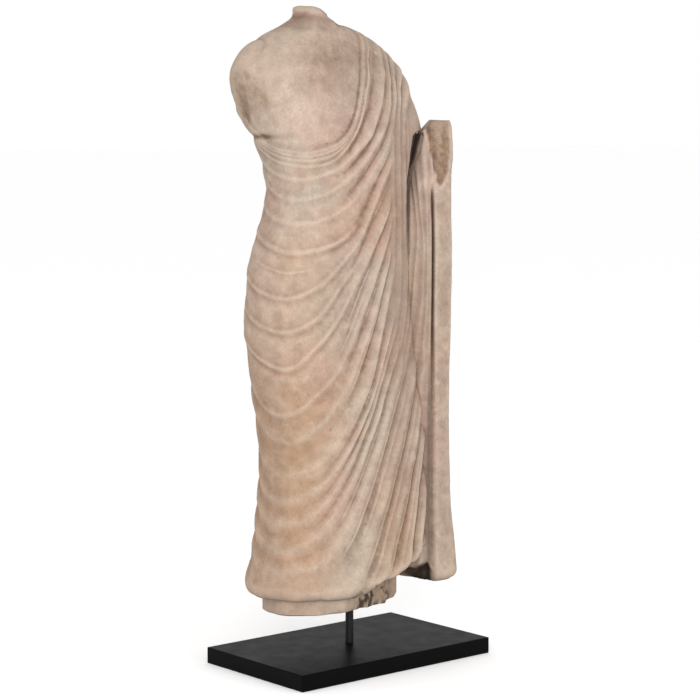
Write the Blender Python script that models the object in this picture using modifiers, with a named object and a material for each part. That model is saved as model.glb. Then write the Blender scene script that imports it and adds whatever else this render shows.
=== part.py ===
# Headless robed standing figure, cast as one piece, on a thin rod in a flat rectangular plinth.
# Metres, +Z up. The origin is the middle of the plinth's underside, +X is the figure's own left, -Y its front.

import math

import bmesh
import bpy
import numpy as np
from mathutils import Matrix

# Plinth and rod, in metres
PLINTH_LENGTH = 0.300
PLINTH_DEPTH = 0.186
PLINTH_THICKNESS = 0.020
PLINTH_EDGE = 0.0012
ROD_DIAMETER = 0.010
ROD_SEAT_DEPTH = 0.014
ROD_GRIP = 0.060
ROD_CHAMFER = 0.0008
TOUCH_GAP = 0.0003
FIGURE_LIFT = 0.050
FIGURE_HEIGHT = 0.730

# The figure is drawn in millimetres for a height of 730: its underside is 0 and the rod's axis is x = y = 0.
# Angles run round it in degrees, from 0 at its front through 90 at its own left.
DRAWN_HEIGHT = 730.0

# Robed body from neck to hem: height, centre x and y, then its reach to the figure's right, left, front, back.
BODY = (
    (722, -34, 34, 21, 23, 23, 21),
    (707, -34, 33, 40, 44, 33, 32),
    (693, -34, 32, 70, 76, 41, 42),
    (679, -34, 31, 92, 101, 47, 49),
    (664, -34, 30, 104, 120, 52, 54),
    (650, -34, 29, 104, 131, 57, 57),
    (630, -33, 28, 101, 139, 62, 60),
    (607, -32, 27, 94, 146, 67, 60),
    (575, -30, 24, 85, 139, 69, 58),
    (549, -28, 21, 79, 127, 67, 54),
    (510, -26, 18, 78, 114, 63, 50),
    (433, -28, 14, 97, 112, 63, 60),
    (347, -31, 13, 101, 118, 66, 70),
    (271, -30, 13, 95, 125, 69, 66),
    (200, -28, 12, 90, 131, 71, 61),
    (130, -26, 12, 95, 134, 72, 60),
    (78, -24, 12, 104, 132, 73, 63),
    (33, -22, 12, 116, 128, 76, 67),
    (15, -22, 12, 116, 126, 75, 67),
)
# Cloth hanging from the left forearm, the same columns, round an axis inside it.
SLEEVE = (
    (594, 112, -20, 8, 14, 22, 42),
    (578, 112, -20, 15, 19, 27, 50),
    (550, 112, -21, 21, 20, 29, 56),
    (520, 112, -22, 33, 17, 29, 60),
    (480, 112, -23, 42, 16, 28, 60),
    (300, 112, -23, 44, 15, 28, 58),
    (180, 112, -23, 42, 17, 28, 56),
    (90, 112, -23, 40, 21, 30, 56),
    (36, 112, -23, 40, 26, 35, 56),
    (22, 112, -23, 38, 24, 33, 54),
)
# Under-robe at the ankles: centre x and y, reach to the right, left, front and back.
ANKLES = (-21, 12, 98, 93, 55, 52)
# How square the outlines are: 2 is an ellipse. The body's front left corner is squarer below the elbow.
BODY_SQUARENESS, CORNER_SQUARENESS, SLEEVE_SQUARENESS = 2.2, 1.1, 2.5

# Folds hang in loops from the left shoulder and are lowest at the right hip. FOLD_NADIRS lists those low points
# downwards from the robe's upper edge. The last ones lie under the hem, so only their upper parts show.
# HIP_NADIRS are short folds that fade out before the front.
FOLD_NADIRS = (540, 513, 479, 440, 386, 343, 298, 270, 243, 213, 173, 115, 10, -40, -95, -155, -220)
HIP_NADIRS, HIP_FOLD_WIDTH = (145, 85, 50), 6
# Heights of some of these loops at LOOP_ANGLES, which run once round the figure from the right hip.
LOOP_ANGLES = (-66, -30, 0, 20, 40, 55, 75, 110, 180, 240, 294)
LOOPS = (
    (-220, -200, -160, -110, -50, 10, 100, 150, 20, -150, -220),
    (-95, -75, -40, 0, 50, 150, 255, 290, 150, -10, -95),
    (-40, -20, 15, 55, 150, 215, 300, 340, 200, 40, -40),
    (10, 30, 70, 125, 205, 275, 360, 400, 255, 90, 10),
    (115, 160, 195, 220, 250, 300, 400, 440, 310, 175, 115),
    (175, 195, 215, 235, 265, 340, 425, 465, 350, 225, 175),
    (240, 260, 290, 320, 355, 405, 475, 520, 410, 290, 240),
    (300, 330, 360, 390, 445, 490, 540, 570, 465, 350, 300),
    (375, 405, 440, 470, 525, 565, 605, 620, 530, 425, 375),
    (440, 450, 475, 500, 555, 600, 635, 645, 575, 480, 440),
    (515, 520, 535, 555, 595, 640, 680, 695, 645, 555, 515),
    (540, 545, 575, 615, 670, 695, 705, 712, 680, 590, 540),
)
# Carved depth and sharpness of a fold round the right hip, in the fan at the left front, and at the back.
FOLD_DEPTH_HIP, FOLD_DEPTH_FAN, FOLD_DEPTH_BACK = 1.8, 5.0, 2.2
FOLD_SHARPNESS_HIP, FOLD_SHARPNESS_FAN = 3.2, 0.75
FOLD_LEAN = 0.07
ROBE_THICKNESS = 2.6

# Upright pleats below the left forearm begin at PLEAT_LINE, given as height and distance aside, where distance
# aside is measured along SIDEWAYS. Below PLEATS_END the loops run on in their place. The pitch widens downwards.
SIDEWAYS = (0.763, -0.646)
PLEAT_LINE = ((300, 62), (335, 56), (374, 53), (450, 51), (600, 50))
PLEATS_END = (260, 345)
PLEAT_PITCH = ((290, 16.0), (330, 12.5), (374, 10.3), (450, 7.3))
PLEAT_DEPTH = 1.7

# Broken right shoulder: an ellipsoid cut by a slanting plane, with a crease in the armpit under it.
SHOULDER_CENTRE, SHOULDER_RADII = (-103, 36, 628), (47, 38, 64)
BREAK_POINT, BREAK_NORMAL = (-143, 36, 643), (-0.84, -0.10, -0.53)
ARMPIT_HEIGHT, ARMPIT_DEPTH, ARMPIT_ANGLE = 573, 4.0, -96
# Broken neck: level on its right, then falling to the left by a slope that starts at NECK_TURN aside.
NECK_TOP, NECK_SLOPE, NECK_TURN, NECK_FALL = 730, 0.95, -38, 22

# Slot down the hanging cloth: its angle round the cloth's own axis, half width and share of the reach cut away.
SLOT_ANGLE, SLOT_WIDTH, SLOT_SHARE = -38, 3.2, 0.6
SLOT_TOP, SLOT_FOOT, FOOT_WIDTH = (495, 530), (25, 80), 26
FRACTURE_DEPTH = 5

# Hem heights round the robe by angle, the hollow under it and the flutes of the under-robe
HEM = ((-180, 26), (-120, 26), (-70, 24), (-31, 23), (-11, 24), (18, 32), (31, 38), (43, 45), (55, 56),
       (66, 66), (85, 50), (110, 30), (180, 26))
HEM_HOLLOW, HEM_LIP, SOLE_EDGE = 9, 2, 4
FLUTES, FLUTE_DEPTH = 14, 1.2

# Mesh density before the surfaces are thinned, and the share of faces that is kept
BODY_COLUMNS, BODY_ROWS = 230, 300
SLEEVE_COLUMNS, SLEEVE_ROWS = 90, 120
KEPT_SHARE = 0.052
ROUND_SIDES = 32


def smooth(low, high, value):
    """0 below low and 1 above high, with an eased step between."""
    t = np.clip((value - low) / (high - low), 0, 1)
    return t * t * (3 - 2 * t)


def cubic(knots, values, slopes, place):
    """Smooth cubics through values, whose knots run along the first axis, at these places."""
    i = np.clip(np.searchsorted(knots, place, side="right") - 1, 0, len(knots) - 2)
    span = knots[i + 1] - knots[i]
    t = (place - knots[i]) / span
    t, span = (a.reshape(a.shape + (1,) * (values.ndim - 1)) for a in (t, span))
    return (
        values[i] * (1 + 2 * t) * (1 - t) ** 2
        + slopes[i] * span * t * (1 - t) ** 2
        + values[i + 1] * t * t * (3 - 2 * t)
        + slopes[i + 1] * span * t * t * (t - 1)
    )


def section(table, height):
    """The columns of a section table at these heights."""
    rows = np.array(table[::-1], float)
    knots, values = rows[:, 0], rows[:, 1:]
    found = cubic(knots, values, np.gradient(values, knots, axis=0), np.clip(height, knots[0], knots[-1]))
    return np.moveaxis(found, -1, 0)


def reach(turn, right, left, front, back, squareness):
    """Distance from the centre to a rounded four-sided outline, at an angle in radians."""
    across = np.abs(np.sin(turn)) / np.where(np.sin(turn) > 0, left, right)
    deep = np.abs(np.cos(turn)) / np.where(np.cos(turn) > 0, front, back)
    return (across**squareness + deep**squareness) ** (-1 / squareness)


def stump_reach(turn, x, y, height):
    """Distance from (x, y) to the far side of the cut shoulder ellipsoid at this height, or 0 outside it."""
    (ex, ey, ez), (rx, ry, rz) = SHOULDER_CENTRE, SHOULDER_RADII
    s, c = np.sin(turn), -np.cos(turn)
    size = np.sqrt(np.clip(1 - ((height - ez) / rz) ** 2, 1e-6, 1))
    dx, dy = (x - ex) / (rx * size), (y - ey) / (ry * size)
    sx, sy = s / (rx * size), c / (ry * size)
    a, b, k = sx**2 + sy**2, dx * sx + dy * sy, dx**2 + dy**2 - 1
    inside = b**2 - a * k
    far = np.where(inside > 0, (-b + np.sqrt(np.clip(inside, 0, None))) / a, 0)
    (nx, ny, nz), (px, py, pz) = BREAK_NORMAL, BREAK_POINT
    toward = nx * s + ny * c
    room = nx * (px - x) + ny * (py - y) + nz * (pz - height)
    cut = np.where(toward > 0.001, room / np.clip(toward, 0.001, None), DRAWN_HEIGHT)
    return np.where(np.abs(height - ez) < rz, np.clip(np.minimum(far, cut), 0, None), 0)


def joined(a, b, rounding):
    """The larger of two reaches, with the valley between them rounded."""
    h = np.clip(0.5 + 0.5 * (a - b) / rounding, 0, 1)
    return b + (a - b) * h + rounding * h * (1 - h)


def loop_height(nadir, angle):
    """Height of the fold loop with this low point, at an angle in degrees."""
    knots, table = np.array(LOOP_ANGLES, float), np.array(LOOPS, float)
    values = np.array([np.interp(nadir, table[:, 0], column) for column in table.T])
    slopes = np.gradient(values, knots)
    slopes[[0, -1]] = 0
    return cubic(knots, values, slopes, (angle - knots[0]) % 360 + knots[0])


def fold_index(angle, height):
    """0 at the robe's upper edge, then 1, 2, 3 and so on at each fold below it, with fractions between."""
    index = np.zeros(np.shape(height))
    upper = loop_height(FOLD_NADIRS[0], angle)
    for nadir in FOLD_NADIRS[1:]:
        lower = loop_height(nadir, angle)
        index += np.clip((upper - height) / (upper - lower), 0, 1)
        upper = lower
    return index


def fold_relief(angle, height):
    """Outward carving of the robe over the body: thin lips round the right hip, deep pleats in the fan."""
    index = fold_index(angle, height)
    fan = smooth(-30, 35, angle) * (1 - smooth(100, 130, angle))
    rear = smooth(120, 150, angle) + 1 - smooth(-125, -95, angle)
    wave = 0.5 + 0.5 * np.cos(2 * math.pi * (index + FOLD_LEAN * np.sin(2 * math.pi * index)))
    sharpness = FOLD_SHARPNESS_HIP + (FOLD_SHARPNESS_FAN - FOLD_SHARPNESS_HIP) * fan
    depth = FOLD_DEPTH_HIP + (FOLD_DEPTH_FAN - FOLD_DEPTH_HIP) * fan
    depth = depth + (FOLD_DEPTH_BACK - depth) * rear
    depth = depth * (1 - 0.65 * smooth(48, 68, angle) * smooth(540, 600, height))
    relief = ROBE_THICKNESS + depth * (wave**sharpness - 0.5)
    for nadir in HIP_NADIRS:
        lip = np.exp(-(((height - loop_height(nadir, angle)) / HIP_FOLD_WIDTH) ** 2))
        relief += 0.7 * FOLD_DEPTH_HIP * lip * (1 - smooth(-25, 10, angle))
    return relief * smooth(-1.5, 2.5, loop_height(FOLD_NADIRS[0], angle) - height)


def aside(x, y):
    return x * SIDEWAYS[0] + y * SIDEWAYS[1]


def pleat_relief(distance, height):
    """Carving of the upright pleats, by distance aside and height."""
    slot = aside(*SLEEVE[0][1:3]) + 2.5
    pitch = np.interp(height, *np.array(PLEAT_PITCH).T)
    return PLEAT_DEPTH * np.cos(2 * math.pi * ((slot - distance) / pitch - 0.3))


def body_surface(angle, height):
    """Points of the robed body: sections, broken shoulder, folds and pleats together."""
    turn = np.radians(angle)
    x, y, right, left, front, back = section(BODY, height)
    corner = np.clip(np.sin(2 * turn), 0, 1) * (np.cos(turn) > 0) * smooth(0, 100, 590 - height)
    out = reach(turn, right, left, front, back, BODY_SQUARENESS + CORNER_SQUARENESS * corner)
    out = joined(out, stump_reach(turn, x, y, height), 5)
    out -= ARMPIT_DEPTH * np.exp(-(((height - ARMPIT_HEIGHT) / 4) ** 2) - ((angle - ARMPIT_ANGLE) / 22) ** 2)
    distance = aside(x + out * np.sin(turn), y - out * np.cos(turn))
    line = np.interp(height, *np.array(PLEAT_LINE, float).T)
    upright = smooth(-2, 7, distance - line) * smooth(*PLEATS_END, height) * (1 - smooth(560, 620, height))
    upright = upright * smooth(0, 20, angle) * (1 - smooth(100, 130, angle))
    folds, pleats = fold_relief(angle, height), ROBE_THICKNESS + pleat_relief(distance, height)
    out += folds + (pleats - folds) * upright
    points = np.stack([x + out * np.sin(turn), y - out * np.cos(turn), height], -1)
    fall = np.clip(NECK_SLOPE * (aside(points[..., 0], points[..., 1]) - NECK_TURN), 0, NECK_FALL)
    points[..., 2] = np.minimum(points[..., 2], NECK_TOP - fall)
    return points


def sleeve_surface(angle, height):
    """Points of the cloth hanging from the left forearm, with its slot, pleats and broken end."""
    turn = np.radians(angle)
    x, y, right, left, front, back = section(SLEEVE, height)
    out = reach(turn, right, left, front, back, SLEEVE_SQUARENESS)
    foot = 1 - smooth(*SLOT_FOOT, height)
    inner = smooth(-30, -40, angle) * (1 - smooth(-100, -130, angle)) * (1 - foot)
    out += inner * pleat_relief(aside(x + out * np.sin(turn), y - out * np.cos(turn)), height)
    across = np.radians(angle - SLOT_ANGLE) * out
    width = np.where(across < 0, SLOT_WIDTH + FOOT_WIDTH * foot, SLOT_WIDTH)
    out *= 1 - SLOT_SHARE * np.exp(-((across / width) ** 2)) * (1 - smooth(*SLOT_TOP, height))
    out -= FRACTURE_DEPTH * np.exp(-(((angle - 2) / 28) ** 2)) * smooth(520, 560, height)
    return np.stack([x + out * np.sin(turn), y - out * np.cos(turn), height], -1)


def ring_angles(count, finest, crowding):
    """Angles in degrees round a section, closer together near the finest one."""
    even = np.linspace(-math.pi, math.pi, count, endpoint=False)
    return np.degrees(even - crowding * np.sin(even - math.radians(finest)))


def body_rings():
    """Rings from the neck break down the robe, under its hem and round the under-robe."""
    angle = ring_angles(BODY_COLUMNS, 0, 0.4)
    top, hem = BODY[0][0], np.interp(angle, *np.array(HEM, float).T)
    robe = [body_surface(angle, top + (hem - top) * v) for v in np.linspace(0, 1, BODY_ROWS)]
    neck = np.array([*BODY[0][1:3], NECK_TOP])
    caps = [neck + (robe[0] - neck) * share for share in (0.35, 0.7, 0.92)]

    turn = np.radians(angle)
    x, y, *sides = ANKLES
    under = reach(turn, *sides, BODY_SQUARENESS) + FLUTE_DEPTH * np.cos(FLUTES * turn)
    flat = np.stack([x + under * np.sin(turn), y - under * np.cos(turn), 0 * turn], -1)
    rise = np.outer(hem, [0, 0, 1])
    hidden = flat + rise + [0, 0, HEM_HOLLOW]
    lip = [robe[-1] + (hidden - robe[-1]) * 0.15 - [0, 0, HEM_LIP], robe[-1] + (hidden - robe[-1]) * 0.45]
    foot = np.array([x, y, 0])
    soles = [foot + (flat - foot) * share for share in (0.93, 0.6, 0.3)]
    return caps + robe + lip + [hidden, flat + 0.5 * rise, flat + [0, 0, SOLE_EDGE]] + soles, neck, foot


def sleeve_rings():
    """Rings from the broken forearm down the hanging cloth."""
    angle = ring_angles(SLEEVE_COLUMNS, SLOT_ANGLE, 0.55)
    top, low = SLEEVE[0][0], SLEEVE[-1][0]
    rings = [sleeve_surface(angle, top + (low - top) * v + 0 * angle) for v in np.linspace(0, 1, SLEEVE_ROWS)]
    upper, lower = (np.array([*SLEEVE[0][1:3], height]) for height in (top + 2, low - 1.5))
    caps = [upper + (rings[0] - upper) * share for share in (0.4, 0.8)]
    ends = [lower + (rings[-1] - lower) * [share, share, 0] for share in (0.94, 0.6, 0.3)]
    return caps + rings + ends, upper, lower


def loft(name, rings, top, bottom):
    """A closed object through rings of drawn points, listed downwards, with a point to close each end."""
    rings = np.asarray(rings)
    count, columns = rings.shape[:2]
    points = np.concatenate([rings.reshape(-1, 3), [top], [bottom]]) * (FIGURE_HEIGHT / DRAWN_HEIGHT)
    here = np.arange(count * columns).reshape(count, columns)
    right = np.roll(here, -1, axis=1)
    faces = np.stack([here[:-1], here[1:], right[1:], right[:-1]], -1).reshape(-1, 4).tolist()
    faces += np.stack([here[0], right[0], np.full(columns, count * columns)], -1).tolist()
    faces += np.stack([right[-1], here[-1], np.full(columns, count * columns + 1)], -1).tolist()
    mesh = bpy.data.meshes.new(name)
    mesh.from_pydata(points.tolist(), [], faces)
    mesh.transform(Matrix.Translation((0, 0, PLINTH_THICKNESS + FIGURE_LIFT)))
    obj = bpy.data.objects.new(name, mesh)
    obj.modifiers.new("thinned", "DECIMATE").ratio = KEPT_SHARE
    return obj


def built(name, shape):
    """An object from a bmesh."""
    mesh = bpy.data.meshes.new(name)
    shape.to_mesh(mesh)
    shape.free()
    return bpy.data.objects.new(name, mesh)


def cylinder(name, diameter, low, high):
    """A capped cylinder on the z axis."""
    shape = bmesh.new()
    middle = Matrix.Translation((0, 0, (low + high) / 2))
    bmesh.ops.create_cone(shape, cap_ends=True, segments=ROUND_SIDES, radius1=diameter / 2,
                          radius2=diameter / 2, depth=high - low, matrix=middle)
    return built(name, shape)


def board(name, length, depth, thickness):
    """A rectangular board that lies on the ground."""
    shape = bmesh.new()
    middle = Matrix.Translation((0, 0, thickness / 2))
    bmesh.ops.create_cube(shape, size=1, matrix=middle @ Matrix.Diagonal((length, depth, thickness, 1)))
    return built(name, shape)


def eased(obj, width, segments):
    """Bevels an object's square edges."""
    step = obj.modifiers.new("eased_edges", "BEVEL")
    step.width = width
    step.segments = segments


def combined(obj, shape, operation, shapes):
    """Joins or cuts an object with a shape, which is kept in the collection of shapes."""
    shapes.objects.link(shape)
    shape.hide_render = True
    shape.display_type = "WIRE"
    step = obj.modifiers.new(shape.name, "BOOLEAN")
    step.operation = operation
    step.solver = "EXACT"
    step.object = shape


def material(name, colour, roughness, metallic):
    made = bpy.data.materials.new(name)
    made.use_nodes = True
    shader = made.node_tree.nodes["Principled BSDF"]
    shader.inputs["Base Color"].default_value = (*colour, 1)
    shader.inputs["Roughness"].default_value = roughness
    shader.inputs["Metallic"].default_value = metallic
    return made


def draped_figure(shapes):
    """The one-piece figure, with a blind socket for the rod in its underside."""
    foot = PLINTH_THICKNESS + FIGURE_LIFT
    figure = loft("draped_figure", *body_rings())
    combined(figure, loft("hanging_cloth", *sleeve_rings()), "UNION", shapes)
    socket = cylinder("rod_socket", ROD_DIAMETER + 2 * TOUCH_GAP, foot - FIGURE_LIFT / 2, foot + ROD_GRIP)
    combined(figure, socket, "DIFFERENCE", shapes)
    figure.data.materials.append(material("carved_stone", (0.56, 0.45, 0.36), 0.85, 0.0))
    return figure


def mounting_rod():
    """The rod from its seat in the plinth to the end of the figure's socket."""
    low = PLINTH_THICKNESS - ROD_SEAT_DEPTH + TOUCH_GAP
    rod = cylinder("mounting_rod", ROD_DIAMETER, low, PLINTH_THICKNESS + FIGURE_LIFT + ROD_GRIP - TOUCH_GAP)
    eased(rod, ROD_CHAMFER, 1)
    rod.data.materials.append(material("blackened_steel", (0.02, 0.02, 0.02), 0.45, 1.0))
    return rod


def plinth(shapes):
    """The board, with slightly eased edges and a blind seat for the rod in its top."""
    obj = board("plinth", PLINTH_LENGTH, PLINTH_DEPTH, PLINTH_THICKNESS)
    eased(obj, PLINTH_EDGE, 2)
    low = PLINTH_THICKNESS - ROD_SEAT_DEPTH
    seat = cylinder("rod_seat", ROD_DIAMETER + 2 * TOUCH_GAP, low, PLINTH_THICKNESS + FIGURE_LIFT / 2)
    combined(obj, seat, "DIFFERENCE", shapes)
    obj.data.materials.append(material("black_lacquer", (0.012, 0.012, 0.012), 0.4, 0.0))
    return obj


def main():
    for obj in list(bpy.data.objects):
        bpy.data.objects.remove(obj)
    parts = bpy.data.collections.new("headless_robed_figure")
    shapes = bpy.data.collections.new("joining_and_cutting_shapes")
    for group in (parts, shapes):
        bpy.context.scene.collection.children.link(group)
    for obj in (draped_figure(shapes), mounting_rod(), plinth(shapes)):
        parts.objects.link(obj)
        obj.data.shade_smooth()
        obj.data.set_sharp_from_angle(angle=math.radians(30))


main()
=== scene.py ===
# Headless robed figure, cast in stone composite, on a black rod and plinth.
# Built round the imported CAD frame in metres: +Z up, +X the figure's own left, -Y its front.

import math

import bpy
import numpy as np
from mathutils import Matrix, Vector


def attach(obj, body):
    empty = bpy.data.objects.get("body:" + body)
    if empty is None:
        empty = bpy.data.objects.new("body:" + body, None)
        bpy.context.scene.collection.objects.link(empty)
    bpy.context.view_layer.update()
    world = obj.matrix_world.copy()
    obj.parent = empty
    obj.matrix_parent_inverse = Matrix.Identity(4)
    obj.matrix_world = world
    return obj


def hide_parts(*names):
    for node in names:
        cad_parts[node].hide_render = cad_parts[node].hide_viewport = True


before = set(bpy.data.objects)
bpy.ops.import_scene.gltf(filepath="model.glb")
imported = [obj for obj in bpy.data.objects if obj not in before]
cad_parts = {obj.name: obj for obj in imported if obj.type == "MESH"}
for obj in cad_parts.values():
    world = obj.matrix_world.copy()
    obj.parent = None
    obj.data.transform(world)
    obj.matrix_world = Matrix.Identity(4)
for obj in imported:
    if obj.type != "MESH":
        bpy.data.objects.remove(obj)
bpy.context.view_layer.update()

# Robed body.
# A bare chest, neck stub and broken right shoulder, with a robe over the left shoulder and round the legs.
# It is one hollow stone composite casting, taken from a carved model, so every fold is part of the same skin.

# The figure is drawn in millimetres above its own underside, with the rod's axis at x = y = 0.
MILLIMETRE = 0.001
FOOT_HEIGHT = 0.070
# Height, centre x and y, then the reach to the figure's right, left, front and back.
BODY = (
    (729, -34, 34, 20, 24, 23, 21),
    (714, -34, 33, 22, 28, 26, 24),
    (705, -34, 33, 37, 46, 33, 33),
    (693, -34, 32, 66, 76, 41, 41),
    (679, -34, 31, 85, 101, 47, 47),
    (664, -34, 30, 100, 119, 52, 53),
    (650, -34, 29, 104, 131, 57, 57),
    (630, -33, 28, 101, 139, 62, 60),
    (607, -32, 27, 94, 146, 67, 60),
    (575, -30, 24, 85, 149, 69, 58),
    (549, -28, 21, 77, 127, 67, 54),
    (510, -26, 18, 74, 114, 63, 50),
    (433, -28, 14, 97, 112, 63, 60),
    (347, -31, 13, 101, 118, 66, 70),
    (271, -30, 13, 91, 125, 69, 66),
    (200, -28, 12, 86, 131, 71, 61),
    (130, -26, 12, 91, 134, 72, 60),
    (78, -24, 12, 101, 132, 73, 63),
    (33, -22, 12, 114, 128, 76, 67),
    (15, -22, 12, 116, 126, 75, 67),
)
# Squareness of the outline, how much squarer its left front corner is and between which heights that begins,
# and the radius at which an angle is turned into a distance
BODY_SQUARENESS, CORNER_SQUARENESS, CORNER_START, MEAN_RADIUS = 2.2, 1.1, (590, 490), 85
# Heights of the fold crests at CREST_ANGLES, which run once round the figure from its right side. The first
# row is the collar. The last rows lie under the hem at the hip, so only their upper parts show.
CREST_ANGLES = (-85, -66, -45, -20, 0, 20, 40, 62, 85, 120, 180, 230)
CRESTS = (
    (551, 544, 543, 555, 581, 623, 666, 697, 709, 713, 682, 608),
    (529, 523, 526, 538, 557, 578, 622, 672, 700, 705, 655, 578),
    (505, 500, 503, 517, 535, 561, 594, 660, 690, 693, 625, 547),
    (478, 472, 474, 488, 505, 532, 572, 650, 681, 678, 596, 516),
    (448, 438, 441, 453, 471, 495, 550, 640, 672, 662, 565, 485),
    (391, 384, 397, 426, 452, 492, 542, 630, 664, 648, 528, 443),
    (351, 344, 360, 401, 426, 454, 503, 620, 655, 630, 490, 403),
    (308, 300, 326, 368, 409, 444, 495, 608, 640, 600, 455, 365),
    (248, 246, 269, 309, 358, 405, 464, 575, 600, 552, 420, 322),
    (216, 212, 231, 272, 313, 367, 436, 540, 560, 508, 385, 285),
    (175, 174, 188, 227, 263, 314, 412, 505, 523, 468, 350, 248),
    (143, 143, 159, 197, 232, 278, 354, 460, 480, 430, 312, 210),
    (116, 116, 133, 178, 220, 268, 336, 425, 440, 395, 275, 176),
    (86, 84, 105, 153, 196, 244, 308, 385, 395, 355, 240, 143),
    (60, 58, 68, 112, 160, 212, 282, 350, 356, 318, 205, 110),
    (14, 10, 20, 41, 80, 136, 209, 303, 317, 284, 165, 72),
    (-38, -40, -32, -13, 15, 55, 142, 245, 262, 222, 110, 20),
    (-95, -95, -88, -73, -50, 0, 50, 205, 217, 165, 55, -30),
    (-160, -160, -155, -141, -120, -75, -20, 135, 154, 90, 0, -85),
    (-225, -225, -220, -208, -190, -150, -95, 50, 79, 15, -60, -150),
)
# How far each crest stands out as a thin lip round the right hip, and how wide it is
LIP_HEIGHTS = (
    0, 0.9, 0.8, 0.8, 1.5, 1.3, 1.6, 1.7, 1.1, 0.8, 0.7, 0.7, 0.6, 0.5, 0.5, 0.4, 0.4, 0.4, 0.4, 0.4,
)
LIP_WIDTHS = (3, 3, 3, 3, 3, 3, 3, 3, 3.4, 4, 4.5, 5, 5, 5, 5, 5, 5, 5, 5, 5)
# The hollow under a lip: how far below and how wide, in lip widths, and its depth as a share of the lip
HOLLOW_BELOW, HOLLOW_WIDTH, HOLLOW_SHARE = 2.1, 1.5, 0.6
# The heights between which the fan's waves mix in with the lips low on the hip, and their share there
LOW_HIP, LOW_HIP_SHARE = (300, 220), 0.35
# The crests that carry on into the fan at the left front, and where the groove lies between each and the next
FAN_CRESTS = (0, 1, 2, 3, 5, 7, 8, 9, 10, 11, 12, 13, 14, 15, 16, 17, 18, 19)
FAN_GROOVES = (0.5, 0.5, 0.55, 0.6, 0.42, 0.4, 0.5, 0.47, 0.62, 0.5, 0.5, 0.5, 0.5, 0.5, 0.5, 0.5, 0.5)
# The fan's depth as a share of its spacing, its greatest depth in front and behind, and its sharpness
FAN_SHARE, FAN_DEPTH, BACK_DEPTH, FAN_SHARPNESS = 0.36, 4.0, 2.4, 0.8
# Angles between which the fan and the back begin on the left, and both end on the right
FAN_START, BACK_START, RIGHT_END = (-32, 14), (105, 150), (-125, -95)
# The heights between which the folds get shallower over the shoulder, and by what share
HIGH_FOLDS, HIGH_SHARE = (590, 680), 0.6
# Lesser ridges between two crests: the crest above, the share of the way down, first and last angle, height
MINOR_RIDGES = (
    (1, 0.50, 5, 62, 0.7), (2, 0.50, 5, 62, 0.7), (3, 0.45, 25, 62, 0.9), (4, 0.45, -90, -55, 0.6),
    (5, 0.50, 20, 40, 0.9), (7, 0.45, -14, 14, 1.2), (7, 0.72, -20, 8, 1.0), (8, 0.50, 8, 40, 1.0),
    (9, 0.30, -10, 30, 1.0), (10, 0.30, -14, 20, 0.9), (10, 0.62, 0, 45, 1.1), (11, 0.50, 5, 50, 1.3),
    (12, 0.50, -10, 40, 1.2), (13, 0.50, -25, 50, 1.2), (14, 0.36, -25, 55, 1.3), (14, 0.68, 0, 50, 1.2),
    (15, 0.35, 0, 60, 1.3), (15, 0.68, 0, 60, 1.3), (16, 0.35, 20, 62, 1.2), (16, 0.70, 20, 62, 1.2),
)
MINOR_WIDTH, MINOR_FADE = 1.6, 8
# The collar's fine ridges, as distances above its crest, their height and width, and how much they lose behind
COLLAR_RIDGES, COLLAR_HEIGHT, COLLAR_WIDTH, COLLAR_LOSS = (-4.5, 2.5, 7.5, 12), 1.0, 1.7, 0.6
# The distances above the crest between which the robe ends, and its thickness
COLLAR_EDGE, ROBE_THICKNESS = (9, 19), 2.2
# The collar's ridges draw closer together by this share between these angles
COLLAR_NARROWING, COLLAR_NARROWS = 1.3, (-35, 10)
# Wear of the carved surface: depth and size of its waves, lumps and pits, and how uneven the folds are
WEAR = ((0.55, 26), (0.28, 9), (0.16, 3.2))
UNEVENNESS, UNEVEN_SIZE = 0.35, 34
# Roughness of the broken faces: depth and size of lumps and of grains
BREAK_LUMPS, BREAK_GRAINS = (1.6, 12), (0.7, 4)
# Corners of the noise's lattice along each side
LATTICE = 32
# The direction across the photograph's view
SIDEWAYS = (0.763, -0.646)
# Upright folds below the left forearm begin at UPRIGHT_LINE, given as height and distance across the view,
# and end where the loops run on in their place. UPRIGHTS has their crests as height and distances across.
UPRIGHT_LINE = ((300, 60), (335, 54), (374, 51), (450, 47), (600, 47))
UPRIGHTS_END = (250, 340)
UPRIGHTS = (
    (600, 42, 50, 58, 65, 70, 74, 78, 90, 103, 115),
    (560, 42, 50, 58, 65, 70, 74, 78, 89, 102, 115),
    (512, 43, 51, 59, 65, 72, 78, 84, 92, 101, 115),
    (488, 43, 52, 60, 64, 75, 81, 86, 95, 101, 115),
    (463, 43, 52, 60, 65, 76, 84, 89, 95, 101, 115),
    (439, 43, 52, 60, 68, 75, 83, 92, 96, 101, 115),
    (415, 42, 51, 59, 69, 73, 81, 91, 96, 101, 115),
    (390, 38, 48, 59, 68, 73, 79, 90, 96, 101, 115),
    (366, 35, 45, 56, 67, 71, 77, 89, 95, 101, 115),
    (342, 30, 40, 52, 64, 69, 73, 86, 93, 101, 115),
    (317, 25, 35, 47, 60, 64, 68, 82, 91, 101, 115),
    (293, 21, 31, 42, 53, 59, 63, 78, 92, 101, 115),
    (269, 16, 26, 37, 47, 54, 58, 73, 87, 101, 115),
)
UPRIGHT_SHARE, UPRIGHT_DEPTH = 0.24, 1.5
# Where they fade: past their line, upwards, in front and behind, and where only plain cloth is left of them
UPRIGHT_FADE, UPRIGHT_TOP, UPRIGHT_FRONT, UPRIGHT_REAR = (-3, 5), (575, 625), (0, 20), (100, 130)
PLAIN_CLOTH = (56, 68)
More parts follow.
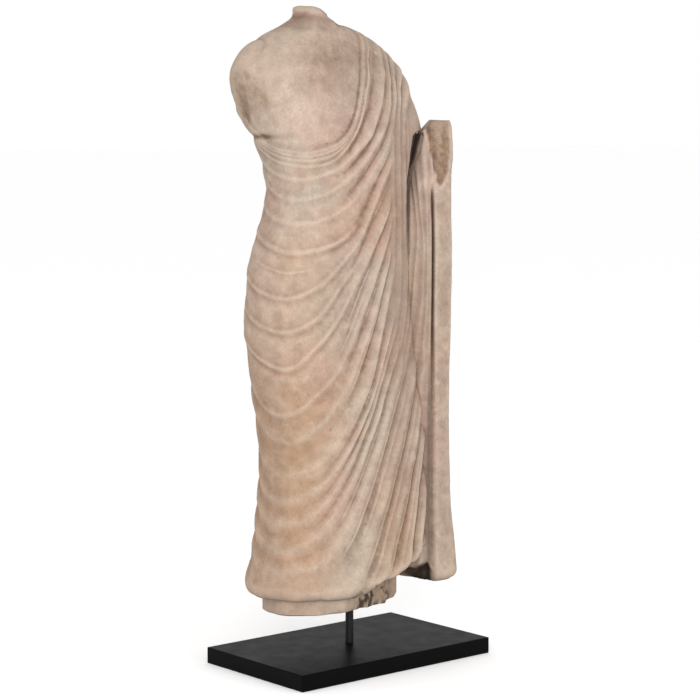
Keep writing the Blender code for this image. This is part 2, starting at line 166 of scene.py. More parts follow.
# The recess between the upper arm's cloth and the sleeve: its height, distance across, depth and width, and
# the angles between which it begins and ends
RECESS = (
    (592, 87, 0, 4.0), (579, 86, 0, 4.0), (573, 84, 20, 4.2), (556, 80, 20, 3.8), (543, 77, 16, 2.8),
    (534, 74, 12, 2.2), (512, 71, 6, 1.8), (480, 70, 4, 1.8), (452, 70, 2, 1.8), (425, 71, 0, 1.8),
)
RECESS_START, RECESS_END = (20, 40), (85, 100)
# Broken right shoulder: an ellipsoid joined to the body and cut by a slanting plane, with rounded edges
SHOULDER_CENTRE, SHOULDER_RADII, SHOULDER_ROUND = (-103, 36, 626), (46, 38, 62), 5
BREAK_POINT, BREAK_NORMAL, BREAK_ROUND = (-143, 36, 643), (-0.84, -0.10, -0.53), 16
# The break's roughness as a share, its reach inside the plane, and where it starts to the side and behind
BREAK_SHARE, BREAK_REACH, BREAK_SIDE, BREAK_REAR = 0.7, (2, 9), (-108, -120), (-8, 12)
# Crease in the armpit: depth, height and spread, angle and spread
ARMPIT_DEPTH, ARMPIT_HEIGHT, ARMPIT_TALL, ARMPIT_ANGLE, ARMPIT_SPREAD = 4.0, 573, 4, -96, 22
# Swell of the right breast and the hollow over it: angle and spread, height and spread, how far it stands out
CHEST = ((-50, 24, 602, 30, 3.0), (-15, 22, 650, 30, -2.5))
# Broken neck: level on its right, then falling to the left, with rounded edges
NECK_TOP, NECK_SLOPE, NECK_TURN, NECK_FALL, NECK_ROUND = 730, 0.95, -36, 23, 7
# Share of a quarter circle's square that an edge is rounded by, and the same for the hem, which is fuller
ROUND_SHARE, HEM_ROUND_SHARE = 0.9, 0.96
# Hem heights round the robe by angle, then the depth of the hollow under the hem, how far its lip hangs
# down and where it lies on the way inwards, the hem's rounding, and the height and size of its chips
HEM = ((-180, 26), (-120, 25), (-70, 21), (-31, 20), (-11, 21), (18, 30), (31, 37), (43, 45), (55, 56),
       (66, 66), (85, 50), (110, 30), (180, 26))
HEM_HOLLOW, HEM_LIP, HEM_LIP_SHARES, HEM_ROUND = 9, 2, (0.15, 0.45), 15
HEM_CHIPS, HEM_CHIP_SIZE = 2.4, 13
# Under-robe: centre x and y, then the reach to the figure's right, left, front and back
ANKLES = (-21, 12, 94, 94, 55, 52)
# Height of its lower edge by angle, its flutes and their depth, and the depth and size of its wear
SOLE_EDGE = ((-180, 4), (-75, 2), (-45, 1), (-15, 4), (5, 8), (40, 11), (62, 7), (85, 4), (180, 4))
FLUTES, FLUTE_DEPTH, ANKLE_WEAR, ANKLE_WEAR_SIZE = 14, 1.2, 0.3, 7
# Its front is broken away between these angles, this deep, with pits of this size
CHIPPED, CHIP_DEPTH, CHIP_PITS = (-24, 4, 66, 76), 4.6, 4.5
# Columns and rows of the surface, how much closer its columns are in front, the rows of the under-robe, and
# the share of the faces that thinning keeps
BODY_COLUMNS, BODY_ROWS, BODY_CROWDING, ANKLE_ROWS, BODY_KEPT = 420, 520, 0.4, 13, 0.36


def smooth(low, high, value):
    """0 below low and 1 above high, with the cubic 3t^2 - 2t^3 of the way between them."""
    t = np.clip((value - low) / (high - low), 0, 1)
    return t * t * (3 - 2 * t)


def cubic(knots, values, slopes, place):
    """Cubics that meet each knot's value and slope: the sum of both times their Hermite weights."""
    i = np.clip(np.searchsorted(knots, place, side="right") - 1, 0, len(knots) - 2)
    span = knots[i + 1] - knots[i]
    t = (place - knots[i]) / span
    t, span = (a.reshape(a.shape + (1,) * (values.ndim - 1)) for a in (t, span))
    return (
        values[i] * (1 + 2 * t) * (1 - t) ** 2
        + slopes[i] * span * t * (1 - t) ** 2
        + values[i + 1] * t * t * (3 - 2 * t)
        + slopes[i + 1] * span * t * t * (t - 1)
    )


def section(table, height):
    """The columns of a section table at these heights, each a smooth cubic through its entries."""
    rows = np.array(table[::-1], float)
    knots, values = rows[:, 0], rows[:, 1:]
    found = cubic(knots, values, np.gradient(values, knots, axis=0), np.clip(height, knots[0], knots[-1]))
    return np.moveaxis(found, -1, 0)


def reach(turn, right, left, front, back, squareness):
    """Distance r from the centre to a rounded outline: (|sin|/side)^n + (|cos|/side)^n = r^-n, where n is the
    squareness."""
    across = np.abs(np.sin(turn)) / np.where(np.sin(turn) > 0, left, right)
    deep = np.abs(np.cos(turn)) / np.where(np.cos(turn) > 0, front, back)
    return (across**squareness + deep**squareness) ** (-1 / squareness)


def stump_reach(turn, x, y, height):
    """Distance along a level ray from (x, y) to the far side of the shoulder ellipsoid, the root of a
    quadratic, or to the break's plane where that comes first."""
    (ex, ey, ez), (rx, ry, rz) = SHOULDER_CENTRE, SHOULDER_RADII
    s, c = np.sin(turn), -np.cos(turn)
    size = np.sqrt(np.clip(1 - ((height - ez) / rz) ** 2, 1e-6, 1))
    dx, dy = (x - ex) / (rx * size), (y - ey) / (ry * size)
    sx, sy = s / (rx * size), c / (ry * size)
    a, b, k = sx**2 + sy**2, dx * sx + dy * sy, dx**2 + dy**2 - 1
    inside = b**2 - a * k
    far = np.where(inside > 0, (-b + np.sqrt(np.clip(inside, 0, None))) / a, 0)
    (nx, ny, nz), (px, py, pz) = BREAK_NORMAL, BREAK_POINT
    toward = nx * s + ny * c
    room = nx * (px - x) + ny * (py - y) + nz * (pz - height)
    cut = np.where(toward > 0.001, room / np.clip(toward, 0.001, None), NECK_TOP)
    return np.where(np.abs(height - ez) < rz, np.clip(-joined(-far, -cut, BREAK_ROUND), 0, None), 0)


def joined(a, b, rounding):
    """The larger of a and b, with a parabola rounding the valley where they are this close to each other."""
    h = np.clip(0.5 + 0.5 * (a - b) / rounding, 0, 1)
    return b + (a - b) * h + rounding * h * (1 - h)


def rounded(radius, share, edge):
    """How far a rounded edge draws in, as a quarter circle: radius times 1 - sqrt(1 - share edge^2), where
    edge grows from 0 to 1 towards the end."""
    return radius * (1 - np.sqrt(1 - share * edge**2))


def cloudy(points, size, seed):
    """Noise from -1 to 1 with lumps of this size: random numbers at the corners of a cubic lattice, blended
    inside each cube by the weights 3t^2 - 2t^3 along every axis."""
    corners = np.random.default_rng(seed).uniform(-1, 1, (LATTICE, LATTICE, LATTICE))
    low = np.floor(points / size).astype(int)
    t = points / size - low
    t = t * t * (3 - 2 * t)
    found = 0
    for step in np.ndindex(2, 2, 2):
        corner = corners[tuple(np.moveaxis((low + step) % LATTICE, -1, 0))]
        found = found + np.prod(np.where(step, t, 1 - t), axis=-1) * corner
    return found


def crest_lines(angle):
    """Height of every fold crest at these angles, as smooth cubics round the figure, and how many times
    longer a step up or down is than one square across the crest: the root of 1 + slope^2."""
    knots, table = np.array(CREST_ANGLES, float), np.array(CRESTS, float).T
    knots = np.concatenate([knots[-2:] - 360, knots, knots[:2] + 360])
    table = np.concatenate([table[-2:], table, table[:2]])
    slopes = np.gradient(table, knots, axis=0)
    first = CREST_ANGLES[0]
    lines, near = (cubic(knots, table, slopes, (angle + step - first) % 360 + first).T for step in (0, 1))
    return lines, np.hypot(1, (near - lines) / np.radians(MEAN_RADIUS))


def ridge(distance, width):
    """A bell curve of the distance from a ridge's crest."""
    return np.exp(-((distance / width) ** 2))


def fold_wave(place, groove, sharpness):
    """Height of the cloth between two crests: 1 at places 0 and 1 and 0 at the groove, by a cosine of the
    place biased so that the groove is half way."""
    bias = groove / (1 - groove)
    place = np.clip(place, 0, 1)
    return (0.5 + 0.5 * np.cos(2 * math.pi * place / (place + bias * (1 - place)))) ** sharpness


def fold_relief(angle, height):
    """Outward carving of the robe. Round the right hip each crest is a thin lip with a groove under it, both
    bell curves of the distance across. Elsewhere a wave runs from crest to crest, as deep as a share of their
    spacing. Lesser ridges and the collar's ridges are bell curves too."""
    lines, steepness = crest_lines(angle)
    fan = smooth(*FAN_START, angle) + 1 - smooth(*RIGHT_END, angle)
    rear = smooth(*BACK_START, angle) + 1 - smooth(*RIGHT_END, angle)
    depth = (FAN_DEPTH + (BACK_DEPTH - FAN_DEPTH) * rear) * (1 - HIGH_SHARE * smooth(*HIGH_FOLDS, height))
    lips, waves = 0 * height, 0 * height
    for line, steep, stands, width in zip(lines, steepness, LIP_HEIGHTS, LIP_WIDTHS):
        across = (height - line) / steep / width
        lips += stands * (ridge(across, 1) - HOLLOW_SHARE * ridge(across + HOLLOW_BELOW, HOLLOW_WIDTH))
    for upper, lower, groove in zip(FAN_CRESTS, FAN_CRESTS[1:], FAN_GROOVES):
        span = lines[upper] - lines[lower]
        deep = np.minimum(depth, FAN_SHARE * span / steepness[upper])
        place = (lines[upper] - height) / span
        waves += (place >= 0) * (place < 1) * deep * (fold_wave(place, groove, FAN_SHARPNESS) - 0.5)
    fan = np.clip(fan + LOW_HIP_SHARE * smooth(*LOW_HIP, height), 0, 1)
    relief = ROBE_THICKNESS + lips + (waves - lips) * fan
    for upper, share, first, last, stands in MINOR_RIDGES:
        line = lines[upper] + share * (lines[upper + 1] - lines[upper])
        window = smooth(first - MINOR_FADE, first + MINOR_FADE, angle)
        window = window * (1 - smooth(last - MINOR_FADE, last + MINOR_FADE, angle))
        relief += stands * ridge((height - line) / steepness[upper], MINOR_WIDTH) * window
    above = (height - lines[0]) / steepness[0] * (1 + COLLAR_NARROWING * smooth(*COLLAR_NARROWS, angle))
    for distance in COLLAR_RIDGES:
        relief += COLLAR_HEIGHT * ridge(above - distance, COLLAR_WIDTH) * (1 - COLLAR_LOSS * rear)
    return relief * (1 - smooth(*COLLAR_EDGE, above))


def aside(x, y):
    """Distance across the photograph's view: x and y weighed by the sideways direction."""
    return x * SIDEWAYS[0] + y * SIDEWAYS[1]


def upright_relief(distance, height):
    """Carving of the upright folds: a wave from crest to crest by the distance aside, as deep as a share of
    their spacing."""
    table = np.array(UPRIGHTS, float)[::-1]
    crests = [np.interp(height, table[:, 0], column) for column in table.T[1:]]
    relief = 0 * height
    for left, right in zip(crests, crests[1:]):
        place = (distance - left) / (right - left)
        deep = np.minimum(UPRIGHT_DEPTH, UPRIGHT_SHARE * (right - left))
        relief += (place >= 0) * (place < 1) * deep * (fold_wave(place, 0.5, 1) - 0.5)
    return relief


def recess(distance, height):
    """Depth of the recess beside the sleeve: a bell curve of the distance aside from its middle."""
    heights, *columns = np.array(RECESS, float)[::-1].T
    middle, depth, width = (np.interp(height, heights, column) for column in columns)
    return depth * ridge(distance - middle, width)


def arm_break(points):
    """1 on the plane where the right upper arm broke off, fading to 0 a few millimetres inside it."""
    gap = np.abs((np.array(BREAK_POINT) - points) @ np.array(BREAK_NORMAL))
    inside = (1 - smooth(*BREAK_REACH, gap)) * smooth(*BREAK_SIDE, points[..., 0])
    return inside * smooth(*BREAK_REAR, points[..., 1])


def neck_break(points):
    """Height of the broken face of the neck: level, then falling as the distance across the view grows, with
    a hyperbola rounding the turn."""
    fall = NECK_SLOPE * (aside(points[..., 0], points[..., 1]) - NECK_TURN)
    return NECK_TOP - np.minimum(0.5 * (fall + np.hypot(fall, NECK_ROUND)), NECK_FALL)


def crumbled(points):
    """Roughness of a broken face: lumps and grains of noise, cut inwards only."""
    (lump, lump_size), (grain, grain_size) = BREAK_LUMPS, BREAK_GRAINS
    lumps, grains = cloudy(points, lump_size, seed=11), cloudy(points, grain_size, seed=12)
    return lump * (lumps + 1) / 2 + grain * (grains + 1) / 2


def chipped(angle):
    """1 where the under-robe's front is broken away, and 0 elsewhere."""
    start, full, last, end = CHIPPED
    return smooth(start, full, angle) * (1 - smooth(last, end, angle))


def body_surface(angle, height):
    """Points of the robed body: centre plus reach along the angle, where the reach is the section's outline
    joined to the shoulder's, less the armpit's crease, plus the folds or, past UPRIGHT_LINE, the upright
    ones, less the recess, plus the bell curves of the chest. Noise wears the surface, roughens the breaks
    and makes the folds uneven. The hem and the neck are rounded by quarter circles."""
    turn = np.radians(angle)
    x, y, right, left, front, back = section(BODY, height)
    corner = np.clip(np.sin(2 * turn), 0, 1) * (np.cos(turn) > 0) * smooth(*CORNER_START, height)
    out = reach(turn, right, left, front, back, BODY_SQUARENESS + CORNER_SQUARENESS * corner)
    out = joined(out, stump_reach(turn, x, y, height), SHOULDER_ROUND)
    above, beside = (height - ARMPIT_HEIGHT) / ARMPIT_TALL, (angle - ARMPIT_ANGLE) / ARMPIT_SPREAD
    out -= ARMPIT_DEPTH * np.exp(-(above**2) - beside**2)
    place = np.stack([x + out * np.sin(turn), y - out * np.cos(turn), height], -1)
    distance = aside(place[..., 0], place[..., 1])
    line = np.interp(height, *np.array(UPRIGHT_LINE, float).T)
    upright = smooth(*UPRIGHT_FADE, distance - line) * smooth(*UPRIGHTS_END, height)
    upright = upright * (1 - smooth(*UPRIGHT_TOP, height))
    upright = upright * smooth(*UPRIGHT_FRONT, angle) * (1 - smooth(*UPRIGHT_REAR, angle))
    pleats = ROBE_THICKNESS + upright_relief(distance, height) * (1 - smooth(*PLAIN_CLOTH, angle))
    folds = fold_relief(angle, height)
    uneven = 1 + UNEVENNESS * cloudy(place, UNEVEN_SIZE, seed=1)
    out += (folds + (pleats - folds) * upright) * uneven
    out -= recess(distance, height) * smooth(*RECESS_START, angle) * (1 - smooth(*RECESS_END, angle))
    for bearing, spread, level, tall, stands in CHEST:
        out += stands * np.exp(-(((angle - bearing) / spread) ** 2) - ((height - level) / tall) ** 2)
    for seed, (depth, size) in enumerate(WEAR):
        out += depth * cloudy(place, size, 2 + seed)
    out -= BREAK_SHARE * crumbled(place) * arm_break(place)
    edge = np.clip((np.interp(angle, *np.array(HEM, float).T) + HEM_ROUND - height) / HEM_ROUND, 0, 1)
    out -= rounded(HEM_ROUND, HEM_ROUND_SHARE, edge)
    under_break = np.clip(1 - (neck_break(place) - height) / NECK_ROUND, 0, 1)
    out -= rounded(NECK_ROUND, ROUND_SHARE, under_break)
    points = np.stack([x + out * np.sin(turn), y - out * np.cos(turn), height], -1)
    points[..., 2] = np.minimum(height, neck_break(points) - crumbled(points))
    points[..., 2] += HEM_CHIPS * (1 + chipped(angle)) * cloudy(place, HEM_CHIP_SIZE, seed=8) * edge
    return points


def ring_angles(count, finest, crowding):
    """Angles in degrees round a section: even steps less crowding times their sine, so that they are closest
    at the angle called finest."""
    even = np.linspace(-math.pi, math.pi, count, endpoint=False)
    return np.degrees(even - crowding * np.sin(even - math.radians(finest)))


def closed_surface(name, rings, top, bottom, kept):
    """A closed mesh through rings of points listed downwards, each ring joined to the next by four-sided
    faces and each end by triangles to a point, then thinned where it is flat."""
    count, columns = rings.shape[:2]
    points = np.concatenate([rings.reshape(-1, 3), [top], [bottom]]) * MILLIMETRE + [0, 0, FOOT_HEIGHT]
    here = np.arange(count * columns).reshape(count, columns)
    right = np.roll(here, -1, axis=1)
    faces = np.stack([here[:-1], here[1:], right[1:], right[:-1]], -1).reshape(-1, 4).tolist()
    faces += np.stack([here[0], right[0], np.full(columns, count * columns)], -1).tolist()
    faces += np.stack([right[-1], here[-1], np.full(columns, count * columns + 1)], -1).tolist()
    mesh = bpy.data.meshes.new(name)
    mesh.from_pydata(points, [], faces)
    obj = bpy.data.objects.new(name, mesh)
    bpy.context.scene.collection.objects.link(obj)
    if kept < 1:
        obj.modifiers.new("thinned", "DECIMATE").ratio = kept
    return obj


def settled(obj):
    """The object with its modifiers worked into its mesh."""
    made = bpy.data.meshes.new_from_object(obj.evaluated_get(bpy.context.evaluated_depsgraph_get()))
    obj.modifiers.clear()
    obj.data = made
    return obj


def body_rings():
    """Rings from the neck break down the robe, under its hem and round the fluted under-robe."""
    angle = ring_angles(BODY_COLUMNS, 0, BODY_CROWDING)
    top, hem = BODY[0][0], np.interp(angle, *np.array(HEM, float).T)
    height = top + (hem - top) * np.linspace(0, 1, BODY_ROWS)[:, None]
    robe = body_surface(angle, height)
    neck = np.array([*BODY[0][1:3], NECK_TOP - 1])
    caps = np.stack([neck + (robe[0] - neck) * share for share in (0.2, 0.4, 0.6, 0.8, 0.92)])
    caps[..., 2] = neck_break(caps) - crumbled(caps)
    turn = np.radians(angle)
    x, y, *sides = ANKLES
    under = reach(turn, *sides, BODY_SQUARENESS) + FLUTE_DEPTH * np.cos(FLUTES * turn)
    outward = np.stack([np.sin(turn), -np.cos(turn), 0 * turn], -1)
    centre = np.array([x, y, 0])
    sole = np.interp(angle, *np.array(SOLE_EDGE, float).T)
    wall = []
    for share in np.linspace(1, 0, ANKLE_ROWS):
        ring = centre + outward * under[:, None]
        ring[:, 2] = sole + (hem + HEM_HOLLOW - sole) * share
        depth = CHIP_DEPTH * crumbled(ring) * chipped(angle)
        depth = depth + ANKLE_WEAR * cloudy(ring, ANKLE_WEAR_SIZE, seed=9)
        wall.append(ring - outward * depth[:, None])
    lip = [robe[-1] + (wall[0] - robe[-1]) * share for share in HEM_LIP_SHARES]
    lip[0] = lip[0] - [0, 0, HEM_LIP]
    soles = [centre + (wall[-1] - centre) * [share, share, 0] for share in (0.96, 0.6, 0.3)]
    return np.concatenate([caps, robe, lip, wall, soles]), neck, centre


figure = closed_surface("carved_figure", *body_rings(), BODY_KEPT)

# Cloth that hangs from the left forearm.
# The robe's end falls straight from the broken forearm towards the ground, with a slot between its inner
# pleats and a plain front strip, and shallow folds on its outer side. It is part of the same casting.

# Height, centre x and y, then the reach to the figure's right, left, front and back
SLEEVE = (
    (597, 112, -20, 13, 22, 22, 16),
    (588, 112, -20, 14, 25, 26, 26),
    (576, 112, -20, 15, 25, 28, 42),
    (550, 112, -21, 20, 23, 30, 56),
    (525, 112, -21, 29, 19, 31, 59),
    (500, 112, -22, 40, 17, 31, 60),
    (470, 112, -23, 51, 15, 33, 60),
    (330, 112, -23, 53, 13, 33, 58),
    (240, 112, -23, 46, 15, 29, 57),
    (180, 112, -23, 42, 18, 28, 56),
    (90, 112, -23, 40, 24, 30, 56),
    (50, 112, -23, 40, 29, 34, 56),
    (22, 112, -23, 38, 31, 35, 54),
)
SLEEVE_SQUARENESS = 2.5
# Angles between which the inner pleats begin beside the slot and end behind
PLEATS_START, PLEATS_END = (-30, -40), (-125, -150)
# The slot: its angle, the width and share of a narrow bell curve, and the width in those widths and share
# of a wide one
SLOT_ANGLE, SLOT_WIDTH, SLOT_SHARE, SLOT_EDGE_WIDTH, SLOT_EDGE = -38, 1.9, 0.26, 2.5, 0.05
# Where it ends above, and where it gets shallower and wider below, by how much
SLOT_TOP, SLOT_FADE, SLOT_LOW_SHARE, SLOT_SPREAD = (484, 524), (200, 370), 0.45, 3.0
# The hollow under the pleats' lower ends: its right edge across the view, its roof by distance across, and
# the share of the cloth that it takes away
NICHE_EDGE, NICHE_ROOF, NICHE_SHARE = 100, ((60, 36), (76, 38), (96, 44), (108, 28)), 0.34
# How it fades at its edge and its roof, and the angles between which it begins
NICHE_EDGE_FADE, NICHE_ROOF_FADE, NICHE_START = (-9, 7), (-5, 4), (-14, -54)
# Shallow upright folds on the outer side: first and last angles, heights at which they begin, spacing,
# depth, and the width and length of their sway
OUTER_SIDE, OUTER_TOP, OUTER_SPACING, OUTER_DEPTH = (60, 84, 150, 175), (560, 440), 17, 1.5
OUTER_SWAY = (2.5, 300)
# The forearm's broken face: height, then its left and right edges across the view
FRACTURE = ((512, 111, 112), (524, 107, 117), (536, 102, 121), (556, 97, 123), (580, 94, 123), (596, 96, 122))
# How ragged its edges are, the size of the raggedness, how soft they are, how far the face is hollowed, and
# where it ends below and to the side
FRACTURE_RAGGED, FRACTURE_SIZE, FRACTURE_SOFT, FRACTURE_DEPTH = 5, 11, 3, 3.0
FRACTURE_FOOT, FRACTURE_SIDE = (508, 520), (-16, -30)
# The slope of the stump's top towards the body
STUMP_TOP, STUMP_SLOPE, STUMP_TURN, STUMP_FALL = 593, 1.05, 103, 16
# Rounding of the lower edge and how far its underside is hollowed
FOOT_ROUND, FOOT_DISH = 11, 1.5
SLEEVE_COLUMNS, SLEEVE_ROWS, SLEEVE_CROWDING, SLEEVE_KEPT = 200, 300, 0.55, 0.36
# Round socket for the rod: its depth, how far the tool reaches out below, its radius and its number of sides
SOCKET_DEPTH, SOCKET_OVERRUN, SOCKET_RADIUS, SOCKET_SIDES = 60, -20, 5.3, 32


def fracture(points):
    """1 on the forearm's broken face and 0 off it, from the distance across the view to the face's edges,
    which noise makes ragged."""
    heights, left, right = np.array(FRACTURE, float).T
    ragged = FRACTURE_RAGGED * cloudy(points, FRACTURE_SIZE, seed=13)
    distance, height = aside(points[..., 0], points[..., 1]), points[..., 2] + ragged
    past = distance + 0.5 * ragged - np.interp(height, heights, left)
    short = np.interp(height, heights, right) - distance
    inside = smooth(-FRACTURE_SOFT, FRACTURE_SOFT, past) * smooth(-FRACTURE_SOFT, FRACTURE_SOFT, short)
    return inside * smooth(*FRACTURE_FOOT, height) * smooth(*FRACTURE_SIDE, points[..., 1])


def inner_side(angle):
    """1 on the pleats between the slot and the body, and 0 on the rest of the hanging cloth."""
    return smooth(*PLEATS_START, angle) * (1 - smooth(*PLEATS_END, angle))


def niche(angle, distance, height):
    """1 in the hollow under the pleats, on the side that faces the body: smooth steps of the distance to its
    edge and of the height under its roof."""
    roof = np.interp(distance, *np.array(NICHE_ROOF, float).T)
    side = smooth(*NICHE_START, angle) * (1 - smooth(*PLEATS_END, angle))
    return smooth(*NICHE_EDGE_FADE, NICHE_EDGE - distance) * smooth(*NICHE_ROOF_FADE, roof - height) * side


def slot(across, height):
    """Share of the cloth's reach that the slot takes away: a narrow and a wide bell curve of the distance
    across it, weaker below SLOT_FADE."""
    full = smooth(*SLOT_FADE, height)
    width = SLOT_WIDTH + SLOT_SPREAD * (1 - full)
    bells = SLOT_SHARE * ridge(across, width) + SLOT_EDGE * ridge(across, SLOT_EDGE_WIDTH * width)
    return bells * (1 - smooth(*SLOT_TOP, height)) * (SLOT_LOW_SHARE + (1 - SLOT_LOW_SHARE) * full)


def outer_folds(angle, depth, height):
    """Carving of the outer side: a cosine of the distance from front to back, swaying with a sine of the
    height and faded at its limits."""
    start, full, last, end = OUTER_SIDE
    sway, length = OUTER_SWAY
    turns = (depth + sway * np.sin(2 * math.pi * height / length)) / OUTER_SPACING
    window = smooth(start, full, angle) * (1 - smooth(last, end, angle)) * smooth(*OUTER_TOP, height)
    return OUTER_DEPTH * np.cos(2 * math.pi * turns) * window


def sleeve_surface(angle, height):
    """Points of the hanging cloth: centre plus reach along the angle, plus the inner pleats and the outer
    folds, less the recess, the slot, the hollow under the pleats and the rough one where the forearm broke.
    The lower edge is rounded by a quarter circle and the top is cut by a slope."""
    turn = np.radians(angle)
    x, y, right, left, front, back = section(SLEEVE, height)
    out = reach(turn, right, left, front, back, SLEEVE_SQUARENESS)
    place = np.stack([x + out * np.sin(turn), y - out * np.cos(turn), height], -1)
    distance = aside(place[..., 0], place[..., 1])
    out += inner_side(angle) * (upright_relief(distance, height) - recess(distance, height))
    out += outer_folds(angle, place[..., 1], height)
    out *= 1 - slot(np.radians(angle - SLOT_ANGLE) * out, height)
    out *= 1 - NICHE_SHARE * niche(angle, distance, height)
    for seed, (depth, size) in enumerate(WEAR):
        out += depth * cloudy(place, size, 5 + seed)
    out -= (FRACTURE_DEPTH + crumbled(place)) * fracture(place)
    edge = np.clip((SLEEVE[-1][0] + FOOT_ROUND - height) / FOOT_ROUND, 0, 1)
    out -= rounded(FOOT_ROUND, ROUND_SHARE, edge)
    points = np.stack([x + out * np.sin(turn), y - out * np.cos(turn), height], -1)
    slope = np.clip(STUMP_SLOPE * (STUMP_TURN - aside(points[..., 0], points[..., 1])), 0, STUMP_FALL)
    points[..., 2] = np.minimum(height, STUMP_TOP - slope - crumbled(points))
    return points


def sleeve_rings():
    """Rings from the broken forearm down the hanging cloth."""
    angle = ring_angles(SLEEVE_COLUMNS, SLOT_ANGLE, SLEEVE_CROWDING)
    top, low = SLEEVE[0][0], SLEEVE[-1][0]
    height = top + (low - top) * np.linspace(0, 1, SLEEVE_ROWS)[:, None] + 0 * angle
    cloth = sleeve_surface(angle + 0 * height, height)
    upper, lower = (np.array([*SLEEVE[0][1:3], level]) for level in (STUMP_TOP, low - FOOT_DISH))
    caps = [upper + (cloth[0] - upper) * share for share in (0.4, 0.8)]
    ends = [lower + (cloth[-1] - lower) * [share, share, 0] for share in (0.94, 0.6, 0.3)]
    return np.concatenate([caps, cloth, ends]), upper, lower


sleeve = settled(closed_surface("hanging_cloth", *sleeve_rings(), SLEEVE_KEPT))

# The tool that cuts the socket, as a cylinder. The cloth is joined to the body first, and then the tool cuts.
turn = np.linspace(0, 2 * math.pi, SOCKET_SIDES, endpoint=False)
circle = np.stack([np.sin(turn), -np.cos(turn), 0 * turn], -1) * SOCKET_RADIUS
ends = [np.array([0, 0, level]) for level in (SOCKET_DEPTH, SOCKET_OVERRUN)]
socket = closed_surface("rod_socket", np.stack([circle + end for end in ends]), *ends, 1)

figure = settled(figure)
for shape, operation in ((sleeve, "UNION"), (socket, "DIFFERENCE")):
    step = figure.modifiers.new(shape.name, "BOOLEAN")
    step.operation, step.solver, step.object = operation, "EXACT", shape
figure = settled(figure)
for shape in (sleeve, socket):
    bpy.data.objects.remove(shape)


# Steps of the near and the wide blur, and the height in each that is full carving
NEAR_STEPS, WIDE_STEPS, NARROW_CARVING, WIDE_CARVING = 6, 60, 1.8, 6
# What the stone's colours follow. Each patch has a strength, a band given as the middle and the width of a
# bell curve across the view, or none, and the fields that limit it with where each starts and is full:
# "aside" across the view, "left" towards the figure's left, and height.
# Brown tint and painted shade over the upright folds at the figure's left front, left out on the lobe beside
# the recess.
BROWN_AND_SHADE_PLEATS = (
    (1, None, ("aside", 38, 56), ("aside", 101, 96), ("height", 0, 150), ("height", 640, 575)),
    (-1, None, ("aside", 38, 56), ("aside", 101, 96), ("height", 0, 150), ("height", 640, 575),
     ("aside", 82, 86), ("height", 480, 530)),
)
# Painted shade on the figure's right side where it turns away, over the upper chest and shoulders and at the
# under-robe's foot, and a brown tint and painted shade on the hanging cloth from its strip outwards.
SHADE_AND_TINT_PATCHES = (
    (0.85, None, ("aside", 99, 104)), (1.1, None, ("height", 605, 662)), (0.6, None, ("aside", -70, -86)),
    (0.8, None, ("height", 30, 10)),
)
EARTH_STAIN = (
    (0.6, None, ("aside", 30, -80), ("height", 540, 330)),
    (0.4, None, ("aside", 30, -80), ("height", 540, 330), ("height", 330, 200)),
    (0.8, (60, 30), ("height", 260, 90)),
)
# Painted shade: a dark band down the groove beside the strip, and a dark smear at the foot of the pleats.
SHADE_GROOVES = (
    (0.6, (98, 4.5), ("height", 360, 220), ("left", 80, 90)),
    (0.5, (90, 7), ("height", 85, 50), ("left", 76, 84)),
)
# Painted shade in the hollow under the pleats, darker near its floor.
SHADE_NICHE = (
    (0.3, None, ("left", 74, 80)),
    (0.5, None, ("left", 74, 80), ("height", 40, 26)),
)
# A painted highlight on the lobe beside the recess, carried by the carving's ridge colour.
PAINTED_HIGHLIGHT_LOBE = ((0.6, (90, 5), ("height", 500, 530), ("height", 598, 585)),)
# The depth at which the recess's painted shade is black, where that painted shadow starts, and where the
# painted highlight on the lobe beside it starts
RECESS_FULL_SHADE, RECESS_LEFT, LOBE_LEFT = 14, (20, 60), 60
# The neck's broken face reaches this far below its top edge, and lies above this height
NECK_BAND, NECK_BASE = (-6, -3), 695
# The broken front of the under-robe: the heights at which it ends, the distance from the middle at which it
# begins, the left limit that leaves out the hanging cloth, and the noise between which its holes turn black
CHIP_HEIGHTS, CHIP_BEGINS, CLOTH_LEFT, CHIP_HOLES = (28, 40), 30, 77, (0.05, 0.35)
# Painted shade: a dark line under the hem, its width and strength, and the strength of the painted black shade
# in the broken front's holes
HEM_LINE, HEM_SHADE, HOLE_SHADE = 2.5, 0.35, 0.8
# How much of the break's colour the arm and the neck take, and how much carving it hides
ARM_BROKEN, NECK_BROKEN, CARVING_IN_BREAK = 0.6, 0.25, 0.5
# How much carving the brown tint and painted shade on the pleats and the earth stain hide, and where each
# starts to
CARVING_IN_PLEATS, PLEATS_HIDE, CARVING_IN_EARTH, EARTH_HIDES = 0.5, (200, 330), 0.4, (20, 0)
# The sum of the umber patches, tint and painted shade, that is full umber, and the angle from which an edge is
# shaded as sharp
TINT_AND_SHADE_FULL, SHARP_ANGLE = 1.15, 50


def blurred(values, ends, steps):
    """Each vertex's values averaged with its neighbours', this many times over."""
    count = len(values)
    shares = np.bincount(ends.ravel(), minlength=count)[:, None]
    for _ in range(steps):
        sums = [np.bincount(ends.ravel(), values[ends[:, ::-1].ravel(), axis], count) for axis in range(3)]
        values = 0.5 * values + 0.5 * np.stack(sums, -1) / shares
    return values


